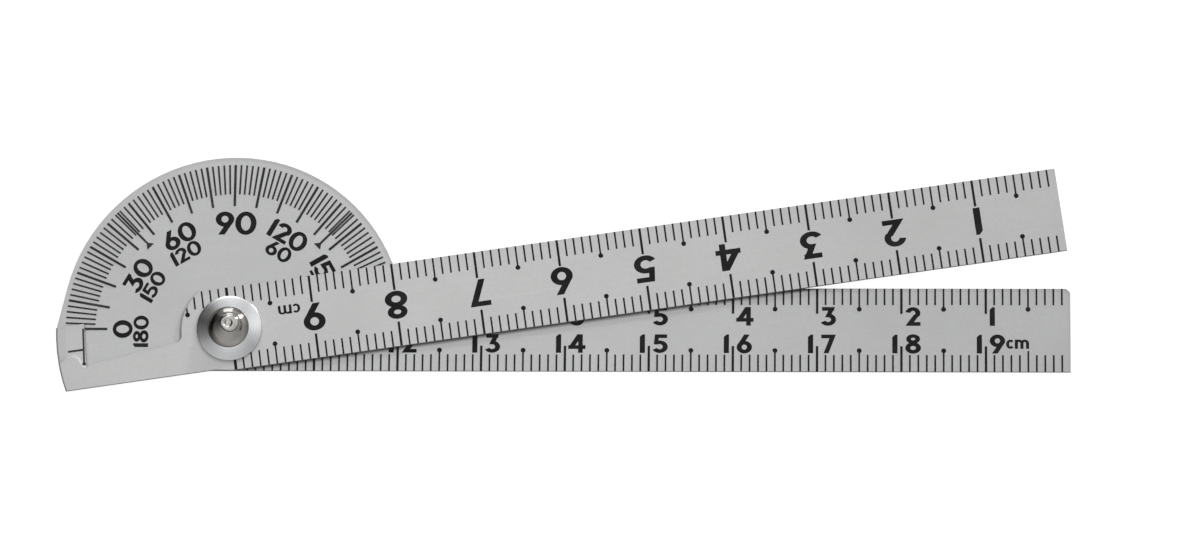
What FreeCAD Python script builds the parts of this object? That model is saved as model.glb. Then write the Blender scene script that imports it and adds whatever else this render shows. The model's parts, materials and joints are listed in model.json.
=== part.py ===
"""Angle finder: a half disc protractor with one fixed and one turning rule arm, held by a rivet.

Millimetres, +Z up. The origin is on the pivot axis, on the flat of the rivet's closing head,
where the tool stands. +X runs along the fixed arm and +Y to the side that holds the half disc.
Both sheets are drawn with their arm along +X, and the index arm is then turned to its open pose.
"""
import FreeCAD, Part
import math
import os
from collections import namedtuple

# Sheets and arms
sheet_thickness = 0.5
arm_width = 10.0
arm_length = 100.0
corner_cut = 0.45
disc_radius = 20.57
disc_centre_x = 0.09
disc_centre_y = 0.39
foot_radius = 21.05
foot_top_y = 0.4
root_fillet = 0.8
open_angle_deg = 8.35

# Graduations along the arms
graduation = 1.0
scale_count = 100
half_step = 5
full_step = 10
line_width = 0.2
full_line_width = 0.28
zero_line_width = 0.34
unit_line_length = 2.0
half_line_length = 2.5
full_line_length = 3.05
index_outer_length_share = 1.05
index_inner_length_share = 0.96
half_dot_radius = 0.29
dotless_half = 95
groove_depth = 0.06

# Graduations round the half disc
degree_step = 2
degree_full_step = 10
degree_end = 180
degree_special = (45, 135)
dial_line_radius = 20.05
dial_line_length = 3.6
dial_full_line_length = 5.05
dial_line_width = 0.22
dial_full_line_width = 0.3
arrow_line_length = 5.85
arrow_line_width = 0.27
arrow_length = 0.72
arrow_half_width = 0.56

# Index arm beyond the pivot
end_overhang = 1.0
strip_inner_x = -6.4
strip_inner_y = -0.74
strip_outer_y = -2.0
strip_edge_inset = 0.33
strip_edge_start_x = -0.5
strip_edge_end_x = -2.5
end_fillet = 0.9
index_rim_radius = 21.14
tab_width = 3.34
tab_lean = 0.3
tab_top_y = 3.12
index_line_length = 2.0
index_line_width = 0.25
index_base_top_y = 2.55
index_base_end_y = -1.72
index_base_width = 0.22
index_base_margin = 0.03
index_dot_radius = 0.22

# Pressed step between the strip and the lower tab
tab_drop = 0.08
step_slope = 0.38
step_lean = 0.36
step_crest_inset = 0.95
step_crest_y = -0.6
step_rim_y = -1.25
rim_bevel_width = 0.18
rim_bevel_height = 0.14
tab_bevel_width = 1.2
tab_bevel_height = 0.05

# Pivot
shank_radius = 1.5
arm_hole_clearance = 0.03
washer_hole_clearance = 0.25
washer_offset_x = -0.19
washer_radius = 3.92
washer_thickness = 0.3
washer_rise = 0.65
head_radius = 2.42
head_edge_height = 0.15
head_height = 1.2
head_offset_x = -0.2
dome_top_radius = 1.1
dome_bulge = 0.14
boss_radius = 1.06
boss_top_radius = 0.88
boss_height = 0.3
boss_sink = 0.2
boss_offset_x = 0.12
boss_offset_y = 0.27
crater_radius = 0.55
crater_depth = 0.18
closing_head_radius = 2.3
closing_head_height = 0.3
closing_head_bevel = 0.12

plate_bottom = closing_head_height
plate_top = plate_bottom + sheet_thickness
arm_bottom = plate_top
arm_top = arm_bottom + sheet_thickness
half_width = arm_width / 2
end_radius = half_width + end_overhang
tab_inner_x = tab_width - index_rim_radius
step_crest_x = tab_inner_x - step_crest_inset
run_out = line_width
rise = FreeCAD.Vector(0, 0, 1)
centre = FreeCAD.Vector(0, 0, 0)

EdgeScale = namedtuple("EdgeScale", "first side length_share zero_width round_radius dotless")


def point(x, y, z=0):
    """A point in a sheet's own drawing."""
    return FreeCAD.Vector(x, y, z)


def polar(radius, angle):
    """A point at a radius and an angle in radians about the pivot."""
    return point(radius * math.cos(angle), radius * math.sin(angle))


def line(start, end):
    """A straight edge."""
    return Part.makeLine(start, end)


def arc_through(start, middle, end):
    """A round edge through three points."""
    return Part.Arc(start, middle, end).toShape()


def arc_about_pivot(radius, start_angle, end_angle):
    """A round edge about the pivot, drawn from one angle to the other."""
    middle = (start_angle + end_angle) / 2
    return arc_through(polar(radius, start_angle), polar(radius, middle), polar(radius, end_angle))


def blank(edges, bottom, thickness):
    """A flat sheet of the outline that the edges close."""
    face = Part.Face(Part.Wire(edges))
    face.translate(rise * bottom)
    return face.extrude(rise * thickness)


def corner_fillet(radius, height, fillet, side, turn):
    """The round corner where an arc about the pivot meets a straight line.

    The line runs level at the given height in a drawing turned by an angle, and the corner lies to
    one side of the pivot. Returns the point on the arc, the middle and the point on the line.
    """
    reach = radius + fillet
    across = side * math.sqrt(reach ** 2 - (height + fillet) ** 2)
    middle = point(across, height + fillet)
    on_arc = middle * (radius / reach)
    on_line = point(across, height)
    towards = (on_arc - middle).normalize() + (on_line - middle).normalize()
    half_way = middle + towards.normalize() * fillet
    corners = [on_arc, half_way, on_line]
    turned = FreeCAD.Rotation(rise, math.degrees(turn))
    return [turned.multVec(corner) for corner in corners]


def angle_of(place):
    """The angle of a point about the pivot, in radians from 0 to a full turn."""
    return math.atan2(place.y, place.x) % math.tau


def path(corners):
    """Straight edges from each corner to the next."""
    return [line(first, second) for first, second in zip(corners, corners[1:])]


def arm_edges(start, upper_corner, end):
    """The arm's two long edges and its tip, whose upper corner is one point or a small cut."""
    return path([start, point(arm_length, -half_width)] + upper_corner + [end])


def plate_edges():
    """Outline of the half disc, whose centre lies a little off the pivot, and of the fixed arm.

    Beside the zero line a straight edge runs on from the disc to a short round foot about the pivot.
    """
    disc_centre = point(disc_centre_x, disc_centre_y)
    foot_top = polar(foot_radius, math.pi - math.asin(foot_top_y / foot_radius))
    foot_low = polar(foot_radius, math.pi + math.asin(half_width / foot_radius))
    across = foot_top - disc_centre
    tangent = polar(disc_radius, angle_of(across) - math.acos(disc_radius / across.Length))
    fillet = corner_fillet(disc_radius, half_width - disc_centre_y, root_fillet, 1, 0)
    on_rim, corner, on_arm = [disc_centre + place for place in fillet]
    cut_corner = [
        point(arm_length, half_width - corner_cut),
        point(arm_length - corner_cut, half_width),
    ]
    edges = arm_edges(foot_low, cut_corner, on_arm)
    edges.append(arc_through(on_arm, corner, on_rim))
    edges.append(arc_through(on_rim, disc_centre + point(0, disc_radius), disc_centre + tangent))
    edges.append(line(disc_centre + tangent, foot_top))
    edges.append(arc_through(foot_top, point(-foot_radius, 0), foot_low))
    return edges


def tab_edge_x(y):
    """Where the tab's inner edge, which leans towards the pivot, lies at a height."""
    return tab_inner_x + tab_lean * (y - strip_outer_y) / (tab_top_y - strip_outer_y)


def index_arm_edges():
    """Outline of the index arm: rule arm, round end, tapered strip and index tab."""
    run = strip_inner_x - tab_inner_x
    taper = math.atan2(strip_inner_y - strip_outer_y, run)
    strip_height = strip_inner_y * math.cos(taper) - strip_inner_x * math.sin(taper)
    on_end, corner, on_strip = corner_fillet(end_radius, strip_height, end_fillet, -1, taper)
    top_angle = math.pi - math.asin(half_width / end_radius)
    strip_edge_y = strip_edge_inset - half_width
    rim_top = math.pi - math.asin(tab_top_y / index_rim_radius)
    rim_bottom = math.pi - math.asin(strip_edge_y / index_rim_radius)
    low_corners = [
        polar(index_rim_radius, rim_bottom),
        point(strip_edge_end_x, strip_edge_y),
        point(strip_edge_start_x, -half_width),
    ]
    tab_corners = [
        on_strip,
        point(tab_inner_x, strip_outer_y),
        point(tab_edge_x(tab_top_y), tab_top_y),
        polar(index_rim_radius, rim_top),
    ]
    square_corner = [point(arm_length, half_width)]
    edges = path(low_corners)
    edges += arm_edges(low_corners[-1], square_corner, polar(end_radius, top_angle))
    edges.append(arc_about_pivot(end_radius, top_angle, angle_of(on_end)))
    edges.append(arc_through(on_end, corner, on_strip))
    edges += path(tab_corners)
    edges.append(arc_about_pivot(index_rim_radius, rim_top, rim_bottom))
    return edges


def bar(start, end, width):
    """Outline of a straight line of even width between two points."""
    along = (end - start).normalize()
    across = along.cross(rise) * (width / 2)
    return [start - across, end - across, end + across, start + across]


def closed(corners):
    """A closed outline through its corners."""
    return Part.Wire(path(corners + corners[:1]))


def pin_outline(start, dot_centre, width, dot_radius):
    """Outline of a line that ends in a round dot."""
    along = (dot_centre - start).normalize()
    across = along.cross(rise) * (width / 2)
    neck = dot_centre - along * math.sqrt(dot_radius ** 2 - (width / 2) ** 2)
    far = dot_centre + along * dot_radius
    dot = arc_through(neck - across, far, neck + across)
    return Part.Wire([dot] + path([neck + across, start + across, start - across, neck - across]))


def arrow_outline(angle):
    """Outline of a line towards the pivot that ends in a small triangle with its base inward."""
    outward = polar(1, angle)
    across = outward.cross(rise)
    stem = across * (arrow_line_width / 2)
    base = across * arrow_half_width
    neck_share = arrow_line_width / 2 / arrow_half_width
    start = outward * dial_line_radius
    foot = outward * (dial_line_radius - arrow_line_length)
    neck = foot + outward * (arrow_length * (1 - neck_share))
    return closed([start - stem, neck - stem, foot - base, foot + base, neck + stem, start + stem])


def edge_line(scale, number, start_height):
    """Outline of one graduation that runs in from an arm's edge at a number of millimetres."""
    x = number * graduation
    start = point(x, scale.side * start_height)
    unit, half, full = [
        point(x, scale.side * (half_width - length * scale.length_share))
        for length in (unit_line_length, half_line_length, full_line_length)
    ]
    if number == 0:
        return closed(bar(start, full, scale.zero_width))
    if number % full_step == 0:
        return closed(bar(start, full, full_line_width))
    if number == scale.dotless:
        return closed(bar(start, half, line_width))
    if number % half_step == 0:
        return pin_outline(start, half, line_width, half_dot_radius)
    return closed(bar(start, unit, line_width))


def start_of_line(scale, number):
    """How far from the arm's middle a graduation starts: at the edge, or at the round end."""
    far_side = abs(number) * graduation + line_width / 2
    if number < 0 and far_side < scale.round_radius:
        return min(half_width, math.sqrt(scale.round_radius ** 2 - far_side ** 2))
    return half_width


def edge_scale(scale):
    """Outlines of a whole edge scale, once to the edge and once run out past it for the grooves."""
    fills = []
    cutters = []
    for number in range(scale.first, scale_count):
        start = start_of_line(scale, number)
        fills.append(edge_line(scale, number, start))
        cutters.append(edge_line(scale, number, start + run_out))
    return fills, cutters


def degree_scale():
    """Outlines of the half disc's lines, every two degrees, with longer ones at each ten."""
    outlines = []
    for degrees in range(0, degree_end + degree_step, degree_step):
        angle = math.pi - math.radians(degrees)
        full = degrees % degree_full_step == 0
        length = dial_full_line_length if full else dial_line_length
        width = dial_full_line_width if full else dial_line_width
        start = polar(dial_line_radius, angle)
        outlines.append(closed(bar(start, polar(dial_line_radius - length, angle), width)))
    for degrees in degree_special:
        outlines.append(arrow_outline(math.pi - math.radians(degrees)))
    return outlines


def index_mark():
    """Outlines of the tab's index line and of the line along its inner edge, which ends in a dot."""
    line_inset = index_base_margin + index_base_width / 2
    dot_inset = index_base_margin + index_dot_radius
    top = point(tab_edge_x(index_base_top_y) - line_inset, index_base_top_y)
    dot = point(tab_edge_x(index_base_end_y) - dot_inset, index_base_end_y)
    crossing = top + (dot - top) * (top.y / (top.y - dot.y))
    index = closed(bar(crossing, point(tab_inner_x - index_line_length, 0), index_line_width))
    return [index, pin_outline(top, dot, index_base_width, index_dot_radius)]


def slabs(outlines, top, depth):
    """Flat slabs of the outlines, one for each, down from a height."""
    solids = []
    for outline in outlines:
        face = Part.Face(outline)
        face.translate(rise * (top - depth))
        solids.append(face.extrude(rise * depth))
    return solids


def ring_about_pivot(profile):
    """A solid turned about the pivot axis from corners given as radius and height."""
    corners = [point(radius, 0, height) for radius, height in profile]
    return Part.Face(closed(corners)).revolve(centre, rise, math.degrees(math.tau))


def hole(radius, bottom, depth):
    """A round cutter about the pivot."""
    return Part.makeCylinder(radius, depth, rise * bottom)


def rim_bevel(top, width, height):
    """A cutter that takes a height off the top of the index arm's rim, beyond the pivot.

    Its faces are splines, because the flat sides of the arm would cut a plain cone in hyperbolas.
    """
    outside = index_rim_radius + width
    inside = index_rim_radius - width
    corners = [
        point(inside, 0, top),
        point(outside, 0, top - height * (outside - inside) / width),
        point(outside, 0, top + sheet_thickness),
        point(inside, 0, top + sheet_thickness),
    ]
    reach = math.degrees(math.asin(arm_width / index_rim_radius))
    start = Part.Face(closed(corners)).rotated(centre, rise, math.degrees(math.pi) - reach)
    return start.revolve(centre, rise, 2 * reach).toNurbs()


def step_outline(shift):
    """Outline past the tab's edges, whose lower side is the curved foot of the pressed step."""
    margin = arm_width
    rim_x = -math.sqrt(index_rim_radius ** 2 - step_rim_y ** 2)
    foot = [
        point(tab_inner_x + margin, strip_outer_y + margin),
        point(tab_inner_x, strip_outer_y),
        point(step_crest_x, step_crest_y),
        point(rim_x, step_rim_y),
        point(rim_x - margin, step_rim_y),
    ]
    foot = [place - point(step_lean, 1) * shift for place in foot]
    uphill = point(-1, 1)
    downhill = point(-1, -1)
    curve = Part.BSplineCurve()
    curve.interpolate(foot[1:4], InitialTangent=uphill, FinalTangent=downhill)
    upper_corners = [point(foot[4].x, 2 * margin), point(foot[0].x, 2 * margin)]
    straight = path(foot[3:] + upper_corners + foot[:2])
    return Part.Wire([curve.toShape()] + straight)


def tab_cutters():
    """Cutters that press the tab down from the arm's face, with a sloped step, and bevel the rim."""
    low = step_outline(0)
    low.translate(rise * (arm_top - tab_drop))
    high = step_outline(step_slope * (1 + sheet_thickness / tab_drop))
    high.translate(rise * (arm_top + sheet_thickness))
    window = Part.makeBox(index_rim_radius + tab_inner_x + tab_lean + run_out, arm_width, arm_width,
                          point(-index_rim_radius - run_out, -half_width))
    pressed = Part.makeLoft([low, high], True, True).common(window)
    tab_area = Part.Face(step_outline(0)).extrude(rise * (arm_top + arm_width))
    tab_face = arm_top - tab_drop
    tab_rim = tab_face - tab_bevel_height * (1 - rim_bevel_width / tab_bevel_width)
    on_tab = [
        rim_bevel(tab_face, tab_bevel_width, tab_bevel_height),
        rim_bevel(tab_rim, rim_bevel_width, rim_bevel_height),
    ]
    bevels = [bevel.common(tab_area).common(window) for bevel in on_tab]
    return [pressed] + bevels + [rim_bevel(arm_top, rim_bevel_width, rim_bevel_height).common(window)]


def make_scale_plate(cutters):
    """The half disc and fixed arm, with the rivet's hole and the etched grooves."""
    plate = blank(plate_edges(), plate_bottom, sheet_thickness)
    plate = plate.cut(hole(shank_radius, 0, arm_top))
    return plate.cut(Part.makeCompound(slabs(cutters, plate_top + groove_depth, groove_depth * 2)))


def make_index_arm(cutters, mark):
    """The index arm in its closed pose, with its hole, its pressed tab and the etched grooves."""
    arm = blank(index_arm_edges(), arm_bottom, sheet_thickness)
    arm = arm.cut(hole(shank_radius + arm_hole_clearance, 0, arm_top + sheet_thickness))
    for cutter in tab_cutters():
        arm = arm.cut(cutter)
    arm = arm.cut(Part.makeCompound(slabs(cutters, arm_top + groove_depth, groove_depth * 2)))
    tab_face = arm_top - tab_drop
    return arm.cut(Part.makeCompound(slabs(mark, tab_face + groove_depth, groove_depth * 2)))


def make_washer():
    """The convex spring washer, resting on the index arm by its rim and to one side in its play."""
    inner = shank_radius + washer_hole_clearance
    washer = ring_about_pivot([
        (washer_radius, arm_top),
        (washer_radius, arm_top + washer_thickness),
        (inner, arm_top + washer_thickness + washer_rise),
        (inner, arm_top + washer_rise),
    ])
    washer.translate(point(washer_offset_x, 0))
    return washer


def make_rivet():
    """The rivet: closing head and shank, then the domed head and its raised ring, set off the axis."""
    seat = arm_top + washer_thickness + washer_rise
    head_edge = point(head_radius, 0, seat + head_edge_height)
    dome_end = point(dome_top_radius, 0, seat + head_height)
    chord = dome_end - head_edge
    outward = point(chord.z, 0, -chord.x).normalize()
    dome_middle = head_edge + chord * 0.5 + outward * dome_bulge
    low = closing_head_radius - closing_head_bevel
    shank = ring_about_pivot([
        (0, 0), (low, 0), (closing_head_radius, closing_head_bevel),
        (closing_head_radius, closing_head_height), (shank_radius, closing_head_height),
        (shank_radius, head_edge.z), (0, head_edge.z),
    ])
    below = [point(0, 0, seat), point(head_radius, 0, seat), head_edge]
    above = [dome_end, point(0, 0, dome_end.z), below[0]]
    dome = arc_through(head_edge, dome_middle, dome_end)
    outline = Part.Wire(path(below) + [dome] + path(above))
    head = Part.Face(outline).revolve(centre, rise, math.degrees(math.tau))
    head.translate(point(head_offset_x, 0))
    top = dome_end.z + boss_height
    ring = ring_about_pivot([
        (0, dome_end.z - boss_sink), (boss_radius, dome_end.z - boss_sink), (boss_top_radius, top),
        (crater_radius, top), (0, top - crater_depth),
    ])
    ring.translate(point(boss_offset_x, boss_offset_y))
    return shank.fuse([head, ring]).removeSplitter()


def save(name, shape):
    """Write one sub-part."""
    shape.exportStep("parts/" + name + ".step")


def turned(shape):
    """The shape turned with the index arm to its open pose."""
    return shape.rotated(centre, rise, open_angle_deg)


def main():
    os.makedirs("parts", exist_ok=True)
    first_inner = math.ceil((disc_radius + root_fillet) / graduation)
    first_round = -half_step
    degree_lines = degree_scale()
    fixed_outer, fixed_outer_cut = edge_scale(
        EdgeScale(0, -1, 1, full_line_width, 0, dotless_half))
    fixed_inner, fixed_inner_cut = edge_scale(
        EdgeScale(first_inner, 1, 1, full_line_width, 0, None))
    index_outer, index_outer_cut = edge_scale(
        EdgeScale(first_round, 1, index_outer_length_share, zero_line_width, end_radius, None))
    index_inner, index_inner_cut = edge_scale(
        EdgeScale(0, -1, index_inner_length_share, zero_line_width, 0, None))
    mark = index_mark()

    save("scale_plate", make_scale_plate(degree_lines + fixed_outer_cut + fixed_inner_cut))
    save("index_arm", turned(make_index_arm(index_outer_cut + index_inner_cut, mark)))
    save("spring_washer", make_washer())
    save("rivet", make_rivet())

    fills = {"degree_lines": degree_lines, "fixed_arm_outer_lines": fixed_outer,
             "fixed_arm_inner_lines": fixed_inner}
    for name, outlines in fills.items():
        save(name, Part.makeCompound(slabs(outlines, plate_top, groove_depth)))
    moving_fills = {"index_arm_outer_lines": index_outer, "index_arm_inner_lines": index_inner}
    for name, outlines in moving_fills.items():
        save(name, turned(Part.makeCompound(slabs(outlines, arm_top, groove_depth))))
    index, base = slabs(mark, arm_top - tab_drop, groove_depth)
    save("index_mark", turned(index.fuse(base).removeSplitter()))


main()
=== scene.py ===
"""Angle finder with two arms: satin steel sheets, black numerals, polished pivot and a pale stage."""

import json
import math

import bpy
import numpy as np
from bpy.props import FloatProperty, FloatVectorProperty, PointerProperty
from mathutils import Matrix, Vector


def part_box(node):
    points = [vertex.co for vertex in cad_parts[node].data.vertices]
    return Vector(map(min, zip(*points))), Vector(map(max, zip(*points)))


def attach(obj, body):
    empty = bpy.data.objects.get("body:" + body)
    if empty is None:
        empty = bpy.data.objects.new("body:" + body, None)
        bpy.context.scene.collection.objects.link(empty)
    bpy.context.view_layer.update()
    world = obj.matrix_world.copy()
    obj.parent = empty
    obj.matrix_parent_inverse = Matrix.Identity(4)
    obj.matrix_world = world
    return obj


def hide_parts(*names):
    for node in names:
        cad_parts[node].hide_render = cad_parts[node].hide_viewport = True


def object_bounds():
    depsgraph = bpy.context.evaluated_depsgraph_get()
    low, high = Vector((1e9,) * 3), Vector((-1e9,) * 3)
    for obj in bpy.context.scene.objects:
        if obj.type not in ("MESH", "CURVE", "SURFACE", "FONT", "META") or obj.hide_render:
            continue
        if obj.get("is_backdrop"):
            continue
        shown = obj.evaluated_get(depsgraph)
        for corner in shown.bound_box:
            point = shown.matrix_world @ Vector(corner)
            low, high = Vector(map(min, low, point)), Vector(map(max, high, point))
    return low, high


bl_info = {
    "name": "Angle finder",
    "version": (1, 0, 0),
    "blender": (4, 5, 0),
    "location": "3D View > Sidebar > Angle finder",
    "description": "Numerals, pivot, finishes and stage of an angle finder with two arms",
    "category": "Object",
}

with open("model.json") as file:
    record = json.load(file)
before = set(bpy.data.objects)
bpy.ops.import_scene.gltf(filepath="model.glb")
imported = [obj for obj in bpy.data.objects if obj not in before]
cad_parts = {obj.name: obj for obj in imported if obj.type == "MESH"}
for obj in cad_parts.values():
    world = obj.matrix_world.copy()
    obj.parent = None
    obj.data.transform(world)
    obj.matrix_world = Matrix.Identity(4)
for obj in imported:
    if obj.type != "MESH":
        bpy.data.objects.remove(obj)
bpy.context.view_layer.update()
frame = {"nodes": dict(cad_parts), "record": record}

MM = 0.001
SCALE_NODE = "scale_plate"
INDEX_NODE = "index_arm"
SCALE_BODY = "scale_body"
INDEX_BODY = "index_body"
ENAMEL_NODES = (
    "degree_lines",
    "fixed_arm_outer_lines",
    "fixed_arm_inner_lines",
    "index_arm_outer_lines",
    "index_arm_inner_lines",
    "index_mark",
)
PHOTO_WIDTH = 1200

# Weight of a level stroke as a share of an upright one's
LEVEL_SHARE = 0.74
# Print: the skin below it and the step between neighbouring strokes, as shares of the relief
SKIN_SHARE = 0.03
LIFT_STEP = 0.12
LIFT_LEVELS = 5

# Sheets: where the painted shade along the arms starts and ends, and the reach of the painted shade in
# corners and under edges
TIP_SHADE_START = 30 * MM
TIP_SHADE_END = 100 * MM
CORNER_SHADE_REACH = 0.5 * MM
GRAIN_RELIEF = 0.02 * MM
SOFT_EDGE = 0.06 * MM
# Share of the steel colour on the sheets' side walls, a painted shade
WALL_SHADE_SHARE = 0.72
# Pivot: how far down the crown is coloured lighter, and how soft that border is
LIGHT_CROWN_DEPTH = 0.25 * MM
LIGHT_CROWN_BORDER = 0.12 * MM
SHARP_ANGLE = math.radians(50)


def top_of(node):
    """Height of a sheet's face."""
    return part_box(node)[1][2]


def open_angle():
    """Angle between the arms at rest, from the outward direction of the index arm's edge."""
    mounts = {mount["name"]: mount for mount in frame["record"]["mounts"]}
    across = mounts["index_arm_edge"]["axis"]
    return math.atan2(across[0], -across[1])


def bottom_radius(node):
    """Largest radius of a turned node near its foot."""
    foot_height = 0.35 * MM
    mesh = frame["nodes"][node].data
    places = np.empty(len(mesh.vertices) * 3)
    mesh.vertices.foreach_get("co", places)
    places = places.reshape(-1, 3)
    foot = places[places[:, 2] < foot_height]
    return float(np.hypot(foot[:, 0], foot[:, 1]).max())


class NumeralSizes(bpy.types.PropertyGroup):
    dial_height: FloatProperty(
        name="Dial numerals", description="Height of the outer numerals on the half disc",
        default=2.33 * MM, unit="LENGTH", precision=5)
    dial_right_angle_height: FloatProperty(
        name="Dial right angle", description="Height of the 90 on the half disc",
        default=2.76 * MM, unit="LENGTH", precision=5)
    dial_inner_height: FloatProperty(
        name="Dial inner numerals", description="Height of the inner numerals on the half disc",
        default=1.8 * MM, unit="LENGTH", precision=5)
    dial_radius: FloatProperty(
        name="Dial numeral radius", description="Radius of the foot of the outer numerals",
        default=11.97 * MM, unit="LENGTH", precision=5)
    dial_inner_radius: FloatProperty(
        name="Dial inner radius", description="Radius of the foot of the inner numerals",
        default=10.02 * MM, unit="LENGTH", precision=5)
    fixed_height: FloatProperty(
        name="Fixed arm numerals", description="Height of the numerals on the fixed arm",
        default=2.24 * MM, unit="LENGTH", precision=5)
    fixed_outer_foot: FloatProperty(
        name="Outer row", description="Foot of the fixed arm's outer numerals, from its middle line",
        default=-2.8 * MM, unit="LENGTH", precision=5)
    fixed_inner_foot: FloatProperty(
        name="Inner row", description="Foot of the fixed arm's inner numerals, from its middle line",
        default=0.52 * MM, unit="LENGTH", precision=5)
    index_height: FloatProperty(
        name="Index arm numerals", description="Height of the numerals on the index arm",
        default=3.27 * MM, unit="LENGTH", precision=5)
    letter_height: FloatProperty(
        name="Unit letters", description="Height of the small letters of the unit",
        default=1.1 * MM, unit="LENGTH", precision=5)
    relief: FloatProperty(
        name="Relief", description="How far the printed numerals stand out of the steel",
        default=0.006 * MM, unit="LENGTH", precision=6)


class PivotSizes(bpy.types.PropertyGroup):
    washer_radius: FloatProperty(
        name="Washer radius", description="Outer radius of the spring washer",
        default=3.92 * MM, unit="LENGTH", precision=5)
    washer_thickness: FloatProperty(
        name="Washer thickness", description="Thickness of the spring washer's wall",
        default=0.3 * MM, unit="LENGTH", precision=5)
    washer_hole: FloatProperty(
        name="Washer hole", description="Radius of the hole in the spring washer",
        default=1.75 * MM, unit="LENGTH", precision=5)
    head_radius: FloatProperty(
        name="Head radius", description="Radius of the rivet's domed head",
        default=2.47 * MM, unit="LENGTH", precision=5)
    head_offset: FloatVectorProperty(
        name="Head offset", description="How far the domed head sits off the pivot axis",
        size=2, subtype="XYZ", unit="LENGTH", precision=5, default=(-0.2 * MM, 0.0))
    ring_radius: FloatProperty(
        name="Ring radius", description="Radius of the raised ring on the head",
        default=1.06 * MM, unit="LENGTH", precision=5)
    ring_offset: FloatVectorProperty(
        name="Ring offset", description="How far the raised ring sits off the pivot axis",
        size=2, subtype="XYZ", unit="LENGTH", precision=5, default=(0.12 * MM, 0.27 * MM))
    crater_offset: FloatVectorProperty(
        name="Crater offset", description="How far the crater in the ring sits off the pivot axis",
        size=2, subtype="XYZ", unit="LENGTH", precision=5, default=(-0.13 * MM, 0.31 * MM))
    shank_radius: FloatProperty(
        name="Shank radius", description="Radius of the rivet's shank",
        default=1.5 * MM, unit="LENGTH", precision=5)
    closing_head_height: FloatProperty(
        name="Closing head", description="Height of the low head at the back",
        default=0.3 * MM, unit="LENGTH", precision=5)


class FinishColours(bpy.types.PropertyGroup):
    plate: FloatVectorProperty(
        name="Scale plate", description="Colour of the scale plate's satin steel",
        subtype="COLOR", default=(0.682, 0.684, 0.688), min=0, max=1)
    arm: FloatVectorProperty(
        name="Index arm", description="Colour of the index arm's satin steel",
        subtype="COLOR", default=(0.712, 0.711, 0.708), min=0, max=1)
    washer: FloatVectorProperty(
        name="Washer steel", description="Colour of the polished washer",
        subtype="COLOR", default=(0.78, 0.79, 0.8), min=0, max=1)
    rivet: FloatVectorProperty(
        name="Rivet steel", description="Colour of the duller rivet",
        subtype="COLOR", default=(0.45, 0.435, 0.41), min=0, max=1)
    enamel: FloatVectorProperty(
        name="Enamel", description="Colour of the lines and numerals",
        subtype="COLOR", default=(0.012, 0.012, 0.013), min=0, max=1)
    floor: FloatVectorProperty(
        name="Floor", description="Colour of the floor",
        subtype="COLOR", default=(0.4, 0.4, 0.4), min=0, max=1)


class StageSizes(bpy.types.PropertyGroup):
    tilt_forward: FloatProperty(
        name="Tilt forward", description="How far the view leans from straight down, about X",
        default=math.radians(10.305), subtype="ANGLE")
    tilt_sideways: FloatProperty(
        name="Tilt sideways", description="How far the view leans from straight down, about Y",
        default=math.radians(3.167), subtype="ANGLE")
    roll: FloatProperty(
        name="Roll", description="Turn of the view about its own axis",
        default=math.radians(0.043), subtype="ANGLE")
    aim: FloatVectorProperty(
        name="Aim", description="Point of the scale face in the middle of the view",
        size=2, subtype="XYZ", unit="LENGTH", default=(44.094 * MM, 6.073 * MM))
    distance: FloatProperty(
        name="Distance", description="From the camera to the aimed point",
        default=554.8 * MM, unit="LENGTH")
    focal_pixels: FloatProperty(
        name="Focal length", description="Focal length in pixels of the photograph",
        default=4646.5)
    floor_size: FloatProperty(
        name="Floor size", description="Side of the square floor", default=1.6, unit="LENGTH")


def corners_of(left, right, low, high):
    """Section corners along a stroke: left low, left high, right high and right low."""
    count = len(left)
    grid = np.empty((count, 4, 3))
    grid[:, 0, :2] = left
    grid[:, 1, :2] = left
    grid[:, 2, :2] = right
    grid[:, 3, :2] = right
    grid[:, (0, 3), 2] = low
    grid[:, (1, 2), 2] = high
    return grid


def slab_faces(count, closed, first):
    """Faces of a box section carried along a stroke, with end caps unless it closes on itself."""
    stations = np.arange(count if closed else count - 1)[:, None]
    sides = np.arange(4)[None, :]
    here = stations * 4
    there = (stations + 1) % count * 4
    after = (sides + 1) % 4
    quads = np.stack([here + sides, here + after, there + after, there + sides], axis=2)
    faces = (quads.reshape(-1, 4) + first).tolist()
    if not closed:
        end = first + (count - 1) * 4
        faces.append([first, first + 3, first + 2, first + 1])
        faces.append([end, end + 1, end + 2, end + 3])
    return faces


def add_piece(name, points, faces, material, smooth=False):
    """A mesh object at the origin with its place in its mesh."""
    mesh = bpy.data.meshes.new(name)
    mesh.from_pydata(points.tolist(), [], faces)
    mesh.polygons.foreach_set("use_smooth", np.full(len(mesh.polygons), smooth))
    mesh.materials.append(material)
    mesh.update()
    piece = bpy.data.objects.new(name, mesh)
    bpy.context.scene.collection.objects.link(piece)
    return piece


def level_stroke(low, high, weight):
    """A straight stroke from a low to a high point, with level ends.

    Each edge is the middle line moved sideways by half the weight over the sine of its slope.
    """
    low = np.array(low, float)
    high = np.array(high, float)
    rise = high - low
    sideways = np.array([weight / 2 * np.hypot(*rise) / rise[1], 0])
    ends = np.stack([low, high])
    return ends - sideways, ends + sideways, False


def beam(start, end, height, weight):
    """A level stroke from left to right."""
    middle = np.array([[start, height], [end, height]], float)
    up = np.array([0, weight / 2])
    return middle + up, middle - up, False


def bowl(centre, radii, weight, start, end, steps=28):
    """A round stroke between two ellipses, anticlockwise from one angle in degrees to another.

    Its outer edge is the centre plus the radii times cosine and sine. Its inner edge has the
    first radius less by the weight and the second by a share of it, so level strokes are thinner.
    """
    closed = end - start == 360
    angles = np.radians(np.linspace(start, end, steps, endpoint=not closed))
    around = np.stack([np.cos(angles), np.sin(angles)], axis=1)
    outer = np.array(centre) + around * np.array(radii)
    inner = np.array(centre) + around * (np.array(radii) - weight * np.array([1, LEVEL_SHARE]))
    return inner, outer, closed


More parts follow.
